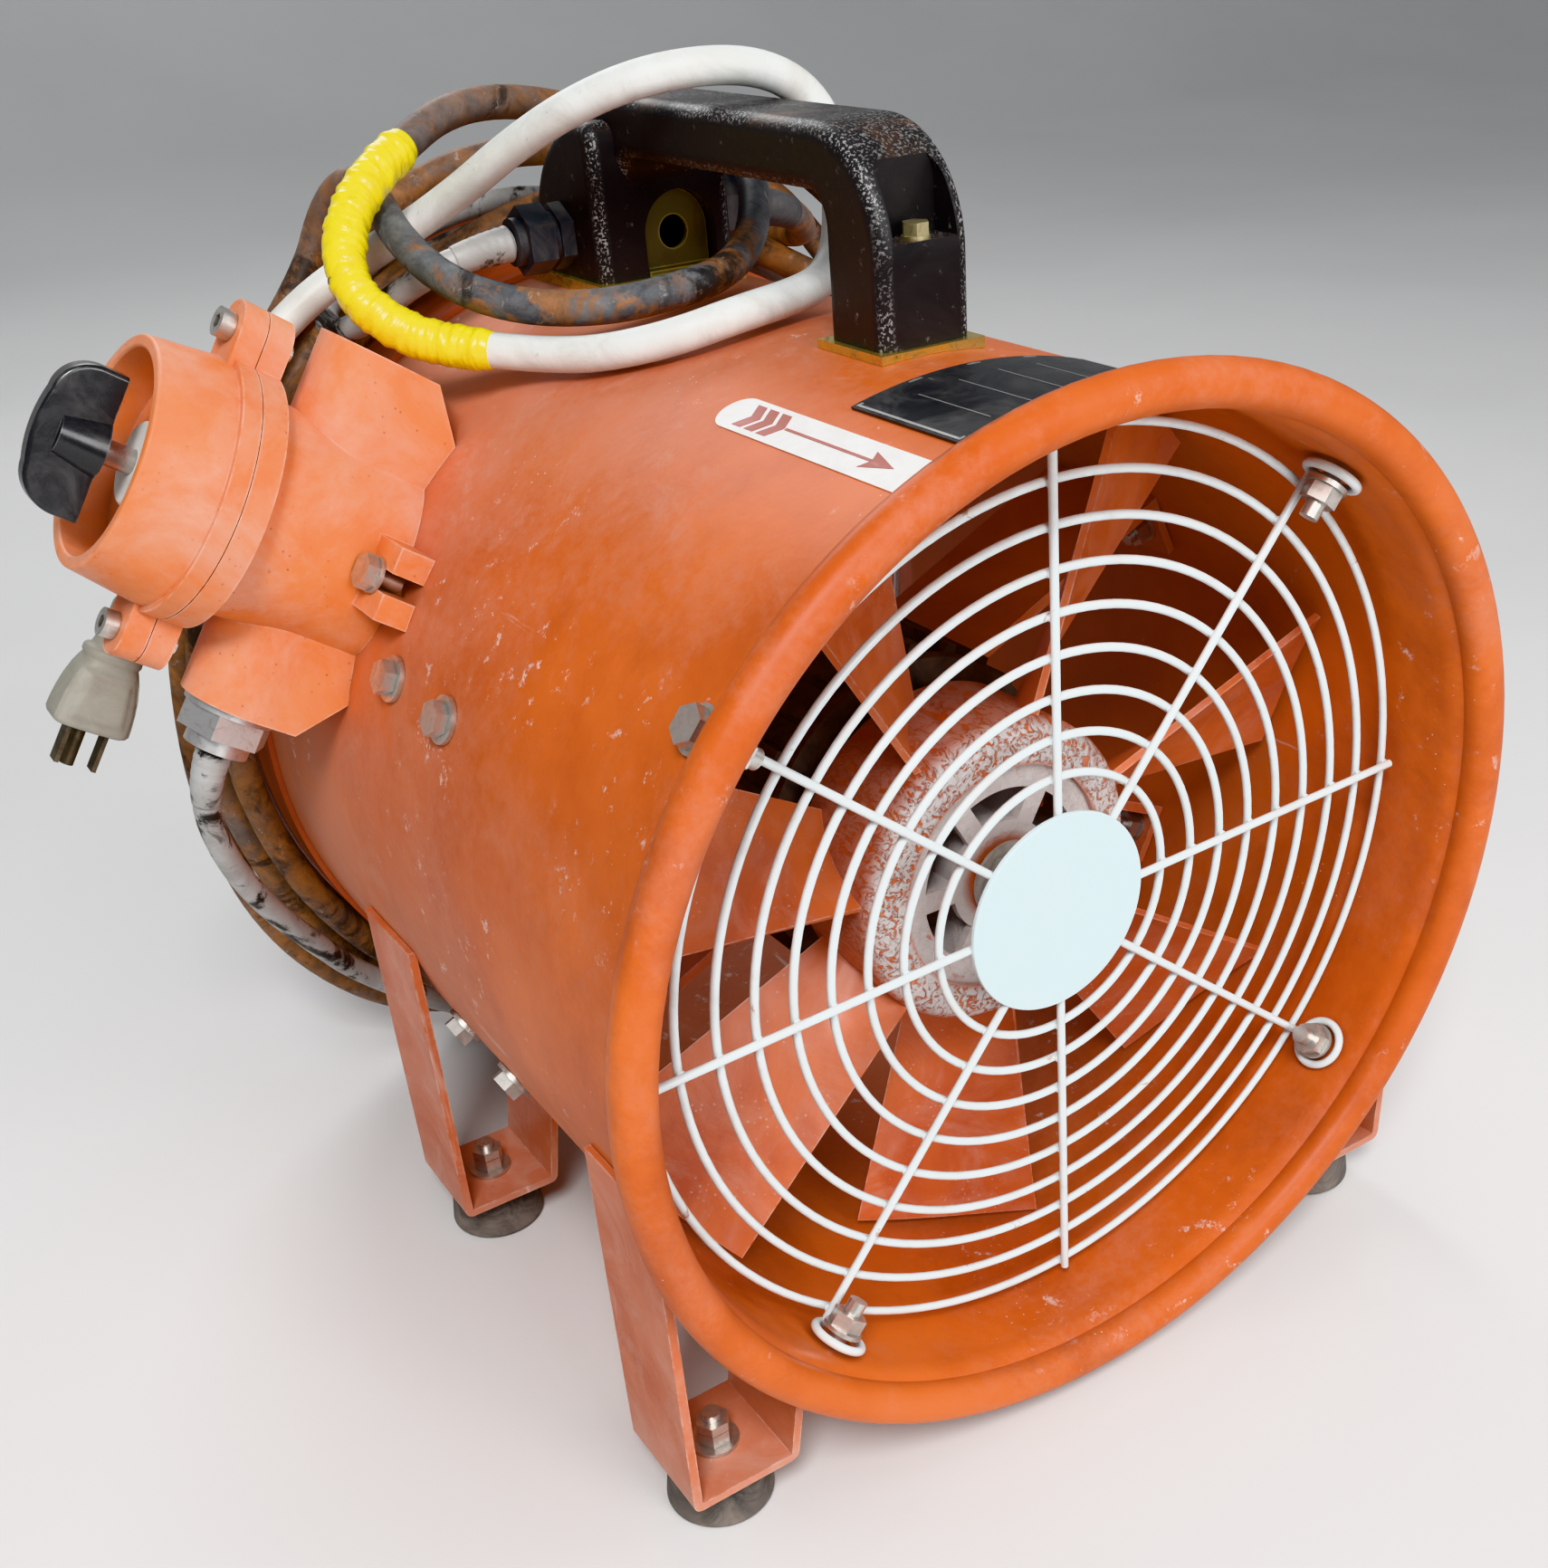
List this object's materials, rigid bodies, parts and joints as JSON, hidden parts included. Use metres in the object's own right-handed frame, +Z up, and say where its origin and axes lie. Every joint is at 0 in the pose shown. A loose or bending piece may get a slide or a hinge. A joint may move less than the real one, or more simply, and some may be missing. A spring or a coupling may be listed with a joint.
{
  "type": "portable axial ventilator",
  "caption": "Portable axial air mover: an orange steel duct with wire guards and a motor-driven impeller, on strap legs, with a carrying handle, a rotary switch and a wound supply cord.",
  "frame": {"origin": "on the floor, in the middle of the footprint of the object without its cord", "axes": "+Z up, -Y the way the air leaves along the fan axis, -X the side that carries the switch"},
  "size_m": [0.4228, 0.3784, 0.4045],
  "materials": {
    "orange_paint": "worn gloss enamel",
    "orange_cast": "semi-gloss paint on a casting",
    "white_wire": "plastic-coated wire",
    "steel_fastener": "dull plated steel with light rust",
    "ground_steel": "ground steel",
    "core_steel": "laminated steel",
    "copper": "enamelled copper windings",
    "dark_metal": "dark satin paint",
    "black_plastic": "pebbled, dusty",
    "yellow_zinc": "yellow-passivated zinc plate",
    "gland_plastic": "satin",
    "grey_plastic": "matt",
    "bright_metal": "bright machined",
    "knob_plastic": "glossy moulded",
    "dirty_cord": "grimy rubber sheath",
    "grey_cord": "grimy grey sheath",
    "yellow_tape": "wrapped insulating tape",
    "white_cord": "smooth sheath",
    "plug_plastic": "moulded, soiled",
    "brass_pins": "tarnished",
    "plate_metal": "black printed plate with a bare edge",
    "white_label": "printed film",
    "foot_rubber": "dusty rubber"
  },
  "bodies": {
    "root": {"drum_shell": "orange_paint", "inlet_bell": "orange_paint", "guard_rings": "white_wire", "guard_spokes": "white_wire", "guard_disc": "white_wire", "guard_bolts": "steel_fastener", "inlet_guard": "white_wire", "motor_stator": "core_steel", "motor_windings": "copper", "motor_housing": "dark_metal", "motor_end_front": "dark_metal", "motor_end_back": "dark_metal", "bearing_outer_rings": "ground_steel", "motor_arms": "orange_paint", "arm_bolts": "steel_fastener", "foot_studs": "steel_fastener", "handle_grip": "black_plastic", "handle_plates": "yellow_zinc", "handle_bracket": "yellow_zinc", "handle_screw": "yellow_zinc", "handle_glands": "gland_plastic", "switch_body": "orange_cast", "switch_cover": "orange_cast", "switch_screws": "steel_fastener", "switch_block": "black_plastic", "switch_bush": "grey_plastic", "switch_gland": "bright_metal", "cord_coil": "dirty_cord", "cord_link": "grey_cord", "cord_tail": "dirty_cord", "cord_loop": "dirty_cord", "cord_brown": "dirty_cord", "splice_tape": "yellow_tape", "cord_white": "white_cord", "plug_body": "plug_plastic", "plug_pins": "brass_pins", "nameplate": "plate_metal", "flow_arrow": "white_label", "leg_front_left": "orange_paint", "foot_front_left": "foot_rubber", "leg_front_right": "orange_paint", "foot_front_right": "foot_rubber", "leg_back_left": "orange_paint", "foot_back_left": "foot_rubber", "leg_back_right": "orange_paint", "foot_back_right": "foot_rubber"},
    "rotor": {"motor_shaft": "ground_steel", "motor_rotor": "core_steel", "bearing_inner_rings": "ground_steel", "impeller_hub": "orange_paint", "impeller_blade_1": "orange_paint", "impeller_blade_2": "orange_paint", "impeller_blade_3": "orange_paint", "impeller_blade_4": "orange_paint", "impeller_blade_5": "orange_paint", "impeller_blade_6": "orange_paint", "impeller_blade_7": "orange_paint", "impeller_nut": "steel_fastener"},
    "knob": {"switch_knob": "knob_plastic", "knob_spindle": "ground_steel"}
  },
  "joints": [
    {"name": "impeller_spin", "type": "hinge", "parent": "root", "child": "rotor", "pos_m": [0.02564, -0.10975, 0.174], "axis": [0, 1, 0], "continuous": true},
    {"name": "knob_turn", "type": "hinge", "parent": "root", "child": "knob", "pos_m": [-0.17915, 0.05225, 0.31739], "axis": [-0.8192, 0, 0.5736], "range_deg": [0, 90]}
  ]
}
